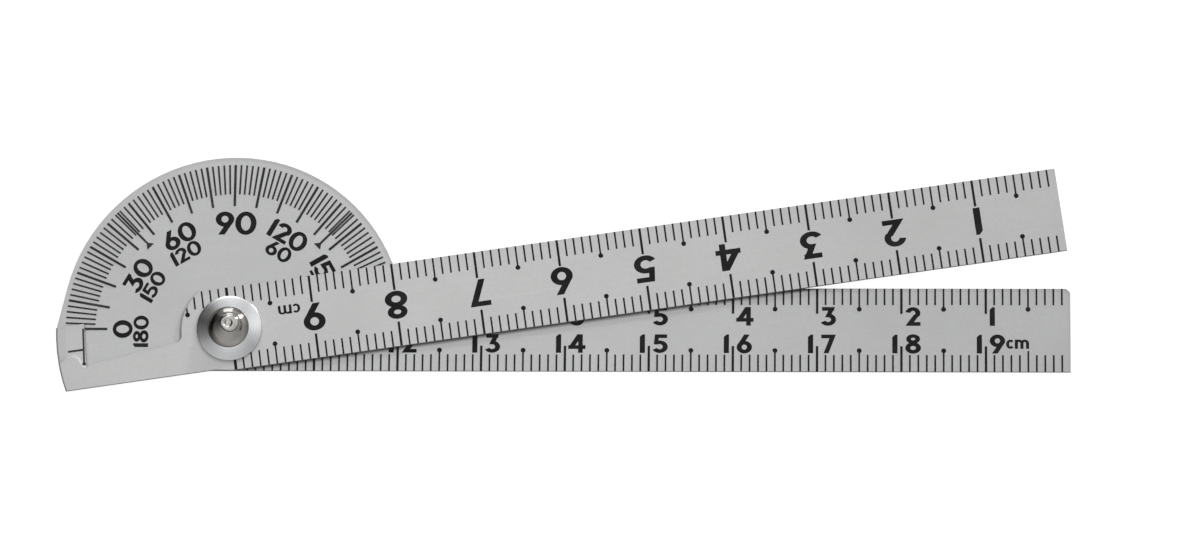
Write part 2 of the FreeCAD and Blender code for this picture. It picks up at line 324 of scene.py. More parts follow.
def half_turned(strokes, width):
    """Strokes turned half round in a cell of one height and the given width."""
    cell = np.array([width, 1])
    return [(cell - left, cell - right, closed) for left, right, closed in strokes]


def numeral(sign, weight):
    """Strokes and width of a numeral in a cell whose height is 1, for a share of stroke weight."""
    wide = 0.81
    bar = weight * LEVEL_SHARE
    half = wide / 2
    slim = weight * 0.92
    if sign == "0":
        wide = 0.93
        return [bowl((wide / 2, 0.5), (wide / 2, 0.515), weight, 0, 360, 48)], wide
    if sign == "1":
        wide = weight * 1.04
        left = np.array([[0, 0], [0, 0.87], [wide * 0.5, 1]])
        right = np.array([[wide, 0], [wide, 0.87], [wide, 1]])
        return [(left, right, False)], wide
    if sign == "2":
        radius = 0.32
        hook = bowl((half, 1 - radius), (half - 0.01, radius), weight, -38, 172)
        foot = level_stroke((weight * 0.62, 0), (wide - weight * 0.74, 1 - radius * 1.25), slim)
        return [hook, foot, beam(weight * 0.5, wide, bar / 2, bar)], wide
    if sign == "3":
        radius = 0.325
        lower = bowl((half * 0.92, radius), (half * 1.06, radius), weight, -152, 98)
        bend = (half * 0.86, 2 * radius - weight * 0.75)
        slant = level_stroke(bend, (wide - weight * 0.75, 1), slim)
        return [lower, slant, beam(0.06, wide - weight * 0.4, 1 - bar / 2, bar)], wide
    if sign == "4":
        wide = 0.89
        stem_x = 0.62
        stem = level_stroke((stem_x, 0), (stem_x, 1), slim)
        slant = level_stroke((weight * 0.5, 0.3), (stem_x - weight * 0.1, 1), slim)
        return [stem, slant, beam(-0.03, wide, 0.31, bar)], wide
    if sign == "5":
        radius = 0.335
        lower = bowl((half * 0.92, radius), (half * 1.06, radius), weight, -152, 118)
        stem = level_stroke((weight * 0.65, 0.46), (weight * 0.88, 1), weight * 0.86)
        return [lower, stem, beam(weight * 0.5, wide - 0.05, 1 - bar / 2, bar)], wide
    if sign == "6":
        ring = bowl((half, 0.32), (half, 0.335), weight, 0, 360, 40)
        stem = level_stroke((weight * 0.62, 0.42), (wide * 0.67, 1), slim)
        return [ring, stem], wide
    if sign == "7":
        stem = level_stroke((wide * 0.34, 0), (wide - weight * 0.56, 1), slim)
        return [stem, beam(0.02, wide - weight * 0.3, 1 - bar / 2, bar)], wide
    if sign == "8":
        wide = 0.83
        half = wide / 2
        upper = bowl((half, 0.77), (half * 0.88, 0.255), weight * 0.94, 0, 360, 40)
        lower = bowl((half, 0.29), (half, 0.305), weight, 0, 360, 40)
        return [upper, lower], wide
    if sign == "9":
        strokes, wide = numeral("6", weight)
        return half_turned(strokes, wide), wide
    return letter(sign, weight)


def letter(sign, weight):
    """Strokes and width of a small letter of the unit, in a cell whose height is 1."""
    if sign == "c":
        return [bowl((0.46, 0.5), (0.46, 0.5), weight, 42, 318)], 0.84
    span = 0.6
    strokes = [level_stroke((weight / 2, 0), (weight / 2, 1), weight)]
    for start in (0, span):
        middle = start + weight / 2 + span / 2
        radii = (span / 2 + weight / 2, 0.4)
        strokes.append(bowl((middle, 0.6), radii, weight, 0, 180, 16))
        foot_x = start + weight / 2 + span
        strokes.append(level_stroke((foot_x, 0), (foot_x, 0.62), weight))
    return strokes, 2 * span + weight


def word(text, height, weight, gap):
    """Strokes of a word in real size, and where each of its signs starts and ends."""
    strokes = []
    spans = []
    pen = 0.0
    for sign in text:
        shapes, wide = numeral(sign, weight)
        shift = np.array([pen, 0.0])
        strokes += [((left + shift) * height, (right + shift) * height, closed)
                    for left, right, closed in shapes]
        spans.append((pen * height, (pen + wide) * height))
        pen += wide + gap
    return strokes, spans


def placed(strokes, foot, up, along=0.0):
    """Strokes with their foot at a point and their height along a direction."""
    up = np.array(up, float)
    aside = np.array([up[1], -up[0]])
    axes = np.stack([aside, up])
    start = np.array(foot, float) + aside * along
    return [(start + left @ axes, start + right @ axes, closed) for left, right, closed in strokes]


def printed(name, strokes, top, relief, node_body):
    """One piece from many strokes, laid just above the sheet and as thick as the relief.

    Neighbouring strokes differ a little in both heights, so that crossing ones share no face.
    """
    points = []
    faces = []
    first = 0
    for number, (left, right, closed) in enumerate(strokes):
        lift = relief * (1 + LIFT_STEP * (number % LIFT_LEVELS))
        section = corners_of(left, right, top + lift * SKIN_SHARE, top + lift)
        points.append(section.reshape(-1, 3))
        faces += slab_faces(len(left), closed, first)
        first += 4 * len(left)
    piece = add_piece(name, np.concatenate(points), faces, enamel())
    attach(piece, node_body)
    return piece


def group_of(name, inputs, outputs):
    """A shader node group with named inputs and outputs, or the one made earlier."""
    made = bpy.data.node_groups.get(name)
    if made:
        return made, None, None
    group = bpy.data.node_groups.new(name, "ShaderNodeTree")
    for label, kind, value in inputs:
        socket = group.interface.new_socket(label, in_out="INPUT", socket_type=kind)
        if value is not None:
            socket.default_value = value
    for label, kind in outputs:
        group.interface.new_socket(label, in_out="OUTPUT", socket_type=kind)
    return group, group.nodes.new("NodeGroupInput"), group.nodes.new("NodeGroupOutput")


def feed(tree, inputs, values):
    """Give each input its value: a socket to link, a number or a plain colour."""
    for slot, value in zip(inputs, values):
        if isinstance(value, bpy.types.NodeSocket):
            tree.links.new(value, slot)
        elif isinstance(value, (int, float)):
            slot.default_value = value
        else:
            slot.default_value = (*value, 1)


def math_node(tree, operation, first, second):
    """A Math node fed by sockets or numbers."""
    node = tree.nodes.new("ShaderNodeMath")
    node.operation = operation
    feed(tree, node.inputs, (first, second))
    return node.outputs[0]


def noise_node(tree, vector, scale, detail, roughness=0.5):
    """A noise texture whose scale is a number or a socket."""
    node = tree.nodes.new("ShaderNodeTexNoise")
    labels = ("Vector", "Scale", "Detail", "Roughness")
    feed(tree, [node.inputs[label] for label in labels], (vector, scale, detail, roughness))
    return node.outputs["Fac"]


def range_node(tree, value, low, high, to_low, to_high):
    """A clamped change of range."""
    node = tree.nodes.new("ShaderNodeMapRange")
    labels = ("Value", "From Min", "From Max", "To Min", "To Max")
    feed(tree, [node.inputs[label] for label in labels], (value, low, high, to_low, to_high))
    return node.outputs["Result"]


def mix_colours(tree, share, first, second, blend="MIX"):
    """A colour mix of sockets or plain colours."""
    node = tree.nodes.new("ShaderNodeMix")
    node.data_type = "RGBA"
    node.blend_type = blend
    feed(tree, (node.inputs[0], node.inputs[6], node.inputs[7]), (share, first, second))
    return node.outputs[2]


def satin_grain():
    """Fine rolled grain: long noise streaks plus an even speckle, as height and as a light tint."""
    group, given, result = group_of(
        "satin grain",
        [("Vector", "NodeSocketVector", None), ("Streaks", "NodeSocketFloat", 260.0),
         ("Speckle", "NodeSocketFloat", 4200.0)],
        [("Height", "NodeSocketFloat"), ("Tint", "NodeSocketFloat")])
    if given is None:
        return group
    stretch = group.nodes.new("ShaderNodeVectorMath")
    stretch.operation = "MULTIPLY"
    stretch.inputs[1].default_value = (0.8, 14.0, 1.0)
    group.links.new(given.outputs["Vector"], stretch.inputs[0])
    streaks = noise_node(group, stretch.outputs[0], given.outputs["Streaks"], 4.0, 0.6)
    speckle = noise_node(group, given.outputs["Vector"], given.outputs["Speckle"], 2.0, 0.6)
    height = math_node(group, "ADD", math_node(group, "MULTIPLY", streaks, 0.35),
                       math_node(group, "MULTIPLY", speckle, 0.65))
    group.links.new(height, result.inputs["Height"])
    group.links.new(range_node(group, height, 0.3, 0.7, 0.0, 1.0), result.inputs["Tint"])
    return group


def handling_marks():
    """Soft smudges and a few hairline scratches, each a mask from 0 to 1."""
    group, given, result = group_of(
        "handling marks",
        [("Vector", "NodeSocketVector", None), ("Smudges", "NodeSocketFloat", 90.0)],
        [("Smudge", "NodeSocketFloat"), ("Scratch", "NodeSocketFloat")])
    if given is None:
        return group
    smudge = noise_node(group, given.outputs["Vector"], given.outputs["Smudges"], 3.0)
    group.links.new(range_node(group, smudge, 0.35, 0.7, 0.0, 1.0), result.inputs["Smudge"])
    stretch = group.nodes.new("ShaderNodeMapping")
    stretch.inputs["Rotation"].default_value = (0, 0, math.radians(24))
    stretch.inputs["Scale"].default_value = (35.0, 900.0, 35.0)
    group.links.new(given.outputs["Vector"], stretch.inputs["Vector"])
    hairline = noise_node(group, stretch.outputs["Vector"], 1.0, 1.0)
    group.links.new(range_node(group, hairline, 0.72, 0.78, 0.0, 1.0), result.inputs["Scratch"])
    return group


def new_material(name):
    """A material with its nodes, its shader and the piece's own coordinates.

    One that was made earlier comes back alone.
    """
    made = bpy.data.materials.get(name)
    if made:
        return made, None, None, None
    material = bpy.data.materials.new(name)
    material.use_nodes = True
    tree = material.node_tree
    shader = tree.nodes["Principled BSDF"]
    coordinates = tree.nodes.new("ShaderNodeTexCoord")
    return material, tree, shader, coordinates


def placed_group(tree, group, vector, values):
    """A group in a material with its own values."""
    node = tree.nodes.new("ShaderNodeGroup")
    node.node_tree = group
    tree.links.new(vector, node.inputs["Vector"])
    for label, value in values.items():
        node.inputs[label].default_value = value
    return node


def bump_on(tree, shader, height, strength, distance, edge=0.0):
    """A bump from a height socket, over edges softened by a radius."""
    node = tree.nodes.new("ShaderNodeBump")
    if edge:
        soft = tree.nodes.new("ShaderNodeBevel")
        soft.inputs["Radius"].default_value = edge
        tree.links.new(soft.outputs["Normal"], node.inputs["Normal"])
    node.inputs["Strength"].default_value = strength
    node.inputs["Distance"].default_value = distance
    tree.links.new(height, node.inputs["Height"])
    tree.links.new(node.outputs["Normal"], shader.inputs["Normal"])


def shelter(tree, reach):
    """How open a point lies within a reach, from 0 to 1, leaning to the light behind the tool; it sets
    where the sheets get painted shade.
    """
    surface = tree.nodes.new("ShaderNodeNewGeometry")
    lean = tree.nodes.new("ShaderNodeVectorMath")
    lean.operation = "ADD"
    lean.inputs[1].default_value = (0.6, 1.0, 0.0)
    tree.links.new(surface.outputs["Normal"], lean.inputs[0])
    unit = tree.nodes.new("ShaderNodeVectorMath")
    unit.operation = "NORMALIZE"
    tree.links.new(lean.outputs[0], unit.inputs[0])
    around = tree.nodes.new("ShaderNodeAmbientOcclusion")
    around.samples = 8
    around.inputs["Distance"].default_value = reach
    tree.links.new(unit.outputs[0], around.inputs["Normal"])
    return around.outputs["AO"]


def satin_steel(name, steel, turn, tip_shade_share, corner_shade_share):
    """Rolled stainless sheet with its grain along the arm, with painted shade darker to the tip, on the
    side walls, in corners and under edges.
    """
    material, tree, shader, coordinates = new_material(name)
    if tree is None:
        return material
    mapping = tree.nodes.new("ShaderNodeMapping")
    mapping.inputs["Rotation"].default_value = (0, 0, -turn)
    tree.links.new(coordinates.outputs["Object"], mapping.inputs["Vector"])
    grain = placed_group(tree, satin_grain(), mapping.outputs["Vector"],
                         {"Streaks": 300.0, "Speckle": 4200.0})
    marks = placed_group(tree, handling_marks(), mapping.outputs["Vector"], {"Smudges": 110.0})
    steel = Vector(steel)
    smudge = marks.outputs["Smudge"]
    scratch = marks.outputs["Scratch"]
    tint = mix_colours(tree, grain.outputs["Tint"], steel * 0.93, steel * 1.06)
    tint = mix_colours(tree, math_node(tree, "MULTIPLY", smudge, 0.35), tint, steel * 0.9)
    tint = mix_colours(tree, math_node(tree, "MULTIPLY", scratch, 0.12), tint, steel * 1.25)
    # Painted shade: faces that stand upright take a darker share of the steel colour.
    facing = tree.nodes.new("ShaderNodeSeparateXYZ")
    tree.links.new(coordinates.outputs["Normal"], facing.inputs[0])
    upward = math_node(tree, "ABSOLUTE", facing.outputs["Z"], 0.0)
    wall = range_node(tree, upward, 0.35, 0.9, 1.0, 0.0)
    tint = mix_colours(tree, wall, tint, steel * WALL_SHADE_SHARE)
    # Painted shade: the steel colour grows darker from the start of the shading to the tip of the arm.
    along = tree.nodes.new("ShaderNodeSeparateXYZ")
    tree.links.new(mapping.outputs["Vector"], along.inputs[0])
    painted_tip_shade = range_node(tree, along.outputs["X"], TIP_SHADE_START, TIP_SHADE_END, 1.0, tip_shade_share)
    tint = mix_colours(tree, 1.0, tint, painted_tip_shade, "MULTIPLY")
    # Painted shade: darker where the sheet is hemmed in within the reach, as under the index arm's
    # edge, round the washer and in corners, leaning away from the light behind.
    painted_shade = range_node(tree, shelter(tree, CORNER_SHADE_REACH), 0.4, 0.9, 1.0, 0.0)
    tint = mix_colours(tree, painted_shade, tint, steel * corner_shade_share)
    tree.links.new(tint, shader.inputs["Base Color"])
    rough = math_node(tree, "ADD", range_node(tree, grain.outputs["Height"], 0.3, 0.7, 0.42, 0.5),
                      math_node(tree, "MULTIPLY", smudge, 0.06))
    tree.links.new(rough, shader.inputs["Roughness"])
    shader.inputs["Metallic"].default_value = 0.8
    shader.inputs["Specular Tint"].default_value = (0.4, 0.4, 0.4, 1)
    bump_on(tree, shader, grain.outputs["Height"], 0.22, GRAIN_RELIEF, SOFT_EDGE)
    return material


def enamel(name="black enamel", thinned=0.0):
    """Black enamel in the etched marks, uneven where it was wiped and greyer where it is thin."""
    material, tree, shader, coordinates = new_material(name)
    if tree is None:
        return material
    black = Vector(bpy.context.scene.angle_finder_finish.enamel) + Vector((thinned,) * 3)
    fine = noise_node(tree, coordinates.outputs["Object"], 3500.0, 3.0)
    wiped = noise_node(tree, coordinates.outputs["Object"], 420.0, 2.0)
    share = range_node(tree, wiped, 0.45, 0.75, 0.0, 1.0)
    tree.links.new(mix_colours(tree, share, black, black * 1.8), shader.inputs["Base Color"])
    tree.links.new(range_node(tree, fine, 0.3, 0.7, 0.42, 0.6), shader.inputs["Roughness"])
    shader.inputs["Specular IOR Level"].default_value = 0.12
    bump_on(tree, shader, fine, 0.25, 0.006 * MM)
    return material


def turned_steel(name, steel, ring_scale, roughness, lighter_above=None):
    """Steel with fine turned rings about the pivot axis, lighter in colour above a height."""
    material, tree, shader, coordinates = new_material(name)
    if tree is None:
        return material
    steel = Vector(steel)
    rings = tree.nodes.new("ShaderNodeTexWave")
    rings.wave_type = "RINGS"
    rings.rings_direction = "Z"
    rings.inputs["Scale"].default_value = ring_scale
    rings.inputs["Distortion"].default_value = 0.6
    rings.inputs["Detail"].default_value = 2.0
    tree.links.new(coordinates.outputs["Object"], rings.inputs["Vector"])
    marks = placed_group(tree, handling_marks(), coordinates.outputs["Object"], {"Smudges": 420.0})
    smudge = marks.outputs["Smudge"]
    tint = mix_colours(tree, rings.outputs["Fac"], steel * 0.94, steel)
    tint = mix_colours(tree, math_node(tree, "MULTIPLY", smudge, 0.3), tint, steel * 0.82)
    # The crown is coloured lighter above the given height.
    if lighter_above is not None:
        split = tree.nodes.new("ShaderNodeSeparateXYZ")
        tree.links.new(coordinates.outputs["Object"], split.inputs[0])
        lighter_whole = lighter_above + LIGHT_CROWN_BORDER
        lighter_crown = range_node(tree, split.outputs["Z"], lighter_above, lighter_whole, 0.0, 1.0)
        tint = mix_colours(tree, lighter_crown, tint, steel * 1.3)
    tree.links.new(tint, shader.inputs["Base Color"])
    grooves = range_node(tree, rings.outputs["Fac"], 0.0, 1.0, roughness, roughness + 0.05)
    rough = math_node(tree, "ADD", grooves, math_node(tree, "MULTIPLY", smudge, 0.08))
    tree.links.new(rough, shader.inputs["Roughness"])
    shader.inputs["Metallic"].default_value = 1.0
    bump_on(tree, shader, rings.outputs["Fac"], 0.12, 0.01 * MM)
    return material


def pale_floor():
    """A white floor with a soft light of its own, which the polished pivot hardly mirrors."""
    material, tree, shader, coordinates = new_material("pale floor")
    if tree is None:
        return material
    pale = Vector(bpy.context.scene.angle_finder_finish.floor)
    cloud = noise_node(tree, coordinates.outputs["Object"], 6.0, 2.0)
    tree.links.new(mix_colours(tree, cloud, pale * 0.99, pale), shader.inputs["Base Color"])
    shader.inputs["Roughness"].default_value = 0.8
    shader.inputs["Specular IOR Level"].default_value = 0.1
    shader.inputs["Emission Color"].default_value = (1, 1, 1, 1)
    shader.inputs["Emission Strength"].default_value = 0.85
    mirrored = tree.nodes.new("ShaderNodeBsdfDiffuse")
    mirrored.inputs["Color"].default_value = (0.25, 0.25, 0.25, 1)
    rays = tree.nodes.new("ShaderNodeLightPath")
    mix = tree.nodes.new("ShaderNodeMixShader")
    tree.links.new(rays.outputs["Is Glossy Ray"], mix.inputs[0])
    tree.links.new(shader.outputs[0], mix.inputs[1])
    tree.links.new(mirrored.outputs[0], mix.inputs[2])
    tree.links.new(mix.outputs[0], tree.nodes["Material Output"].inputs["Surface"])
    return material


def arc_points(start, end, bulge, steps):
    """Points of a circular arc between two profile points, standing out by a bulge at its middle.

    The height over the chord is the circle's sagitta less the part lost away from the middle.
    """
    start = np.array(start, float)
    end = np.array(end, float)
    chord = end - start
    length = np.hypot(*chord)
    outward = np.array([chord[1], -chord[0]]) / length
    radius = (length ** 2 / 4 + bulge ** 2) / (2 * abs(bulge))
    share = np.linspace(-1, 1, steps)[:, None]
    height = np.sqrt(radius ** 2 - (share * length / 2) ** 2) - (radius - abs(bulge))
    return (start + end) / 2 + chord / 2 * share + outward * height * math.copysign(1, bulge)


def rounded(corners, radius, steps=5):
    """A profile whose inner corners are rounded by short arcs of equal legs."""
    corners = [np.array(corner, float) for corner in corners]
    points = [corners[0]]
    for before, corner, after in zip(corners, corners[1:], corners[2:]):
        back = before - corner
        ahead = after - corner
        leg = min(radius, 0.45 * np.hypot(*back), 0.45 * np.hypot(*ahead))
        start = corner + back / np.hypot(*back) * leg
        end = corner + ahead / np.hypot(*ahead) * leg
        share = np.linspace(0, 1, steps)[:, None]
        curve = (1 - share) ** 2 * start + 2 * share * (1 - share) * corner + share ** 2 * end
        points += list(curve)
    points.append(corners[-1])
    return np.array(points)


def turned_piece(name, profile, centres, material, on_axis, segments=128):
    """A profile of radius and height turned about the pivot, each ring about its own centre.

    A point is the ring's centre plus the radius times cosine and sine of the angle, and the height.
    A profile on the axis is closed by a fan at each end, and another closes on itself.
    """
    angles = np.linspace(0, math.tau, segments, endpoint=False)
    around = np.stack([np.cos(angles), np.sin(angles)], axis=1)
    ends = np.concatenate([centres, profile[:, 1:]], axis=1)[[0, -1]]
    inner = slice(1, -1) if on_axis else slice(None)
    rings = profile[inner]
    count = len(rings)
    grid = np.empty((count, segments, 3))
    grid[:, :, :2] = centres[inner][:, None] + rings[:, None, :1] * around[None]
    grid[:, :, 2] = rings[:, None, 1]
    points = grid.reshape(-1, 3)
    rows = np.arange(count - 1 if on_axis else count)[:, None] * segments
    above = (rows + segments) % (count * segments)
    here = np.arange(segments)[None]
    beside = (here + 1) % segments
    quads = np.stack([rows + here, rows + beside, above + beside, above + here], axis=2)
    faces = quads.reshape(-1, 4).tolist()
    if on_axis:
        low = np.full(segments, len(points))
        points = np.concatenate([points, ends])
        last = (count - 1) * segments
        here = here[0]
        beside = beside[0]
        faces += np.stack([low, beside, here], axis=1).tolist()
        faces += np.stack([low + 1, last + here, last + beside], axis=1).tolist()
    piece = add_piece(name, points, faces, material, smooth=True)
    piece.data.set_sharp_from_angle(angle=SHARP_ANGLE)
    return piece


class ANGLEFINDER_OT_sheet_finish(bpy.types.Operator):
    """Give the two steel sheets and their enamelled lines their finishes"""
    bl_idname = "anglefinder.sheet_finish"
    bl_label = "Finish sheets and lines"

    def execute(self, context):
        colours = context.scene.angle_finder_finish
        finishes = {
            SCALE_NODE: satin_steel("satin sheet of the scale plate", colours.plate, 0.0,
                                    tip_shade_share=0.83, corner_shade_share=0.12),
            INDEX_NODE: satin_steel("satin sheet of the index arm", colours.arm, open_angle(),
                                    tip_shade_share=0.85, corner_shade_share=0.72),
        }
        finishes.update({node: enamel() for node in ENAMEL_NODES})
        finishes["degree_lines"] = enamel("thin enamel of the dial", thinned=0.022)
        # The index mark's piece holds the index line and an upright line with a dot along the tab's
        # inner edge; both take this thin black.
        finishes["index_mark"] = enamel("thin black of the index mark", thinned=0.035)
        for node, material in finishes.items():
            for slot in frame["nodes"][node].material_slots:
                slot.material = material
        return {"FINISHED"}


class ANGLEFINDER_OT_dial_numerals(bpy.types.Operator):
    """Print the two rows of numerals round the half disc"""
    bl_idname = "anglefinder.dial_numerals"
    bl_label = "Dial numerals"

    step = 30
    end = 180
    right_angle = 90
    weight = 0.25
    right_angle_shift = 0.22 * MM
    gap = 0.05

    def execute(self, context):
        sizes = context.scene.angle_finder_numerals
        outer = []
        inner = []
        for degrees in range(0, self.end + self.step, self.step):
            direction = math.pi - math.radians(degrees)
            up = np.array([math.cos(direction), math.sin(direction)])
            square = degrees == self.right_angle
            height = sizes.dial_right_angle_height if square else sizes.dial_height
            drop = sizes.dial_right_angle_height - sizes.dial_height if square else 0
            strokes, spans = word(str(degrees), height, self.weight, self.gap)
            shift = self.right_angle_shift if square else 0
            outer += placed(strokes, up * (sizes.dial_radius - drop), up, shift - spans[-1][1] / 2)
            if square:
                continue
            strokes, spans = word(str(self.end - degrees), sizes.dial_inner_height,
                                  self.weight, self.gap)
            pair = spans[-2:]
            middle = (pair[0][0] + pair[-1][1]) / 2
            inner += placed(strokes, up * sizes.dial_inner_radius, up, -middle)
        top = top_of(SCALE_NODE)
        printed("dial_numerals", outer, top, sizes.relief, SCALE_BODY)
        printed("dial_inner_numerals", inner, top, sizes.relief, SCALE_BODY)
        return {"FINISHED"}


class ANGLEFINDER_OT_arm_numerals(bpy.types.Operator):
    """Print the centimetre numerals of both arms"""
    bl_idname = "anglefinder.arm_numerals"
    bl_label = "Arm numerals"

    division = 10 * MM
    divisions = 10
    hidden = 3
    fixed_weight = 0.265
    index_weight = 0.245
    fixed_letter_weight = 0.33
    index_letter_weight = 0.28
    index_shift = 0.05 * MM
    beside_line = 0.46 * MM
    letter_gap = 0.1
    gap = 0.06
    unit_middle = 7.2 * MM
    unit_foot = 1.88 * MM

    def fixed_outer(self, sizes):
        """Numbers that count on from the pivot, each split by its line, and the unit at the end."""
        strokes = []
        up = (0, 1)
        for number in range(1, self.divisions):
            line_x = number * self.division
            tens, spans = word("1", sizes.fixed_height, self.fixed_weight, self.gap)
            foot = (line_x, sizes.fixed_outer_foot)
            strokes += placed(tens, foot, up, -self.beside_line - spans[-1][1])
            ones, spans = word(str(number), sizes.fixed_height, self.fixed_weight, self.gap)
            strokes += placed(ones, foot, up, self.beside_line)
        unit, _ = word("cm", sizes.letter_height, self.fixed_letter_weight, self.letter_gap)
        end_x = line_x + self.beside_line + spans[-1][1] + self.letter_gap * sizes.letter_height
        lift = (sizes.fixed_height - sizes.letter_height) / 2
        return strokes + placed(unit, (end_x, sizes.fixed_outer_foot + lift), up)

    def fixed_inner(self, sizes):
        """Numbers that count from the tip, each beside its line, but for those under the index arm."""
        strokes = []
        for number in range(1, self.divisions - self.hidden + 1):
            shapes, _ = word(str(number), sizes.fixed_height, self.fixed_weight, self.gap)
            foot = ((self.divisions - number) * self.division, sizes.fixed_inner_foot)
            strokes += placed(shapes, foot, (0, 1), self.beside_line)
        return strokes

    def index_numbers(self, sizes):
        """Numbers that count from the index arm's tip, upside down on its middle line, and the unit."""
        turn = open_angle()
        along = np.array([math.cos(turn), math.sin(turn)])
        across = np.array([-along[1], along[0]])
        strokes = []
        for number in range(1, self.divisions):
            shapes, spans = word(str(number), sizes.index_height, self.index_weight, self.gap)
            middle = along * (self.divisions - number) * self.division
            foot = middle + across * sizes.index_height / 2
            strokes += placed(shapes, foot, -across, -spans[-1][1] / 2 - self.index_shift)
        unit, spans = word("cm", sizes.letter_height, self.index_letter_weight, self.letter_gap)
        foot = along * self.unit_middle + across * self.unit_foot
        return strokes + placed(unit, foot, -across, -spans[-1][1] / 2)

    def execute(self, context):
        sizes = context.scene.angle_finder_numerals
        relief = sizes.relief
        plate_top = top_of(SCALE_NODE)
        arm_top = top_of(INDEX_NODE)
        printed("fixed_arm_outer_numerals", self.fixed_outer(sizes), plate_top, relief, SCALE_BODY)
        printed("fixed_arm_inner_numerals", self.fixed_inner(sizes), plate_top, relief, SCALE_BODY)
        printed("index_arm_numerals", self.index_numbers(sizes), arm_top, relief, INDEX_BODY)
        return {"FINISHED"}


class ANGLEFINDER_OT_pivot(bpy.types.Operator):
    """Turn the spring washer and the rivet with their rounded edges"""
    bl_idname = "anglefinder.pivot"
    bl_label = "Pivot"

    edge = 0.07 * MM
    fine_edge_share = 0.3
    washer_lip_share = 0.12
    closing_bevel = (0.1 * MM, 0.12 * MM)
    head_wall = 0.22 * MM
    ring_height = 0.3 * MM
    dome_bulge = 0.06 * MM
    ring_reach = 0.75 * MM
    ring_clearance = 0.05 * MM
    crater_start = 0.97 * MM
    crater_run = 0.23 * MM
    # Radius and depth below the crown, in mm, from the raised ring's shoulder to the middle
    ring_section = ((0.97, 0.1), (0.74, 0), (0.56, 0.02), (0.42, 0.13), (0.2, 0.07), (0, 0.1))

    def washer(self, sizes):
        """A convex wall on the index arm: outside up, over the crown, and back underneath."""
        bottom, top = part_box("spring_washer")
        foot = bottom[2]
        crown = top[2]
        wall = sizes.washer_thickness
        outer_top = (sizes.washer_radius, foot + wall)
        inner_top = (sizes.washer_hole, crown)
        inner_bottom = (sizes.washer_hole, crown - wall)
        outer_bottom = (sizes.washer_radius, foot)
        rim = rounded([(sizes.washer_radius - wall, foot), outer_bottom, outer_top,
                       arc_points(outer_top, inner_top, self.edge, 3)[1]], self.edge)
        crown_line = arc_points(outer_top, inner_top, self.edge, 17)[2:]
        under = np.array([inner_bottom,
                          (sizes.washer_radius - wall, foot + wall * self.washer_lip_share)])
        profile = np.concatenate([rim[:-1], crown_line, under])
        middle = (bottom[0] + top[0]) / 2, (bottom[1] + top[1]) / 2
        return profile, np.tile(middle, (len(profile), 1))

    def ring_centres(self, sizes, radii):
        """Centres of the head's rings, which lie at the head's offset at the edge of the dome.

        They go over to the raised ring's offset as a smooth step of the radius, and on to the
        crater's offset in line with the radius.
        """
        head = np.array(sizes.head_offset)
        ring = np.array(sizes.ring_offset)
        start = sizes.ring_radius + self.ring_reach
        run = start - sizes.ring_radius - self.ring_clearance
        share = np.clip((start - radii) / run, 0, 1)
        share = share * share * (3 - 2 * share)
        inward = np.clip((self.crater_start - radii) / self.crater_run, 0, 1)
        return head + (ring - head) * share + (np.array(sizes.crater_offset) - ring) * inward

    def rivet(self, sizes):
        """Closing head, shank, flat seat, dome, raised ring and the small crater in its middle."""
        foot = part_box("rivet")[0][2]
        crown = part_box("rivet")[1][2]
        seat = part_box("spring_washer")[1][2]
        fine_edge = self.edge * self.fine_edge_share
        closing_radius = bottom_radius("rivet")
        bevel_inward, bevel_upward = self.closing_bevel
        head_edge = (sizes.head_radius, seat + self.head_wall)
        ring_foot = (sizes.ring_radius, crown - self.ring_height)
        below = rounded([
            (0, foot),
            (closing_radius - bevel_inward, foot),
            (closing_radius, foot + bevel_upward),
            (closing_radius, sizes.closing_head_height),
            (sizes.shank_radius, sizes.closing_head_height),
            (sizes.shank_radius, seat),
        ], fine_edge)
        rim = rounded([(sizes.shank_radius, seat), (sizes.head_radius, seat), head_edge], fine_edge)
        dome = arc_points(head_edge, ring_foot, self.dome_bulge, 25)[1:-1]
        section = [(radius * MM, crown - depth * MM) for radius, depth in self.ring_section]
        above = rounded([ring_foot, *section], self.edge)
        profile = np.concatenate([below, rim[1:], dome, above])
        centres = self.ring_centres(sizes, profile[:, :1])
        centres[:len(below)] = 0
        return profile, centres

    def execute(self, context):
        sizes = context.scene.angle_finder_pivot
        colours = context.scene.angle_finder_finish
        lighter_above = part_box("rivet")[1][2] - LIGHT_CROWN_DEPTH
        washer_steel = turned_steel("turned washer steel", colours.washer, ring_scale=900.0,
                                    roughness=0.14)
        rivet_steel = turned_steel("turned rivet steel", colours.rivet, ring_scale=1300.0,
                                   roughness=0.08, lighter_above=lighter_above)
        washer = turned_piece("spring_washer_turned", *self.washer(sizes), washer_steel, False)
        rivet = turned_piece("rivet_turned", *self.rivet(sizes), rivet_steel, True)
        for piece, node in ((washer, "spring_washer"), (rivet, "rivet")):
            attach(piece, SCALE_BODY)
            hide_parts(node)
        return {"FINISHED"}


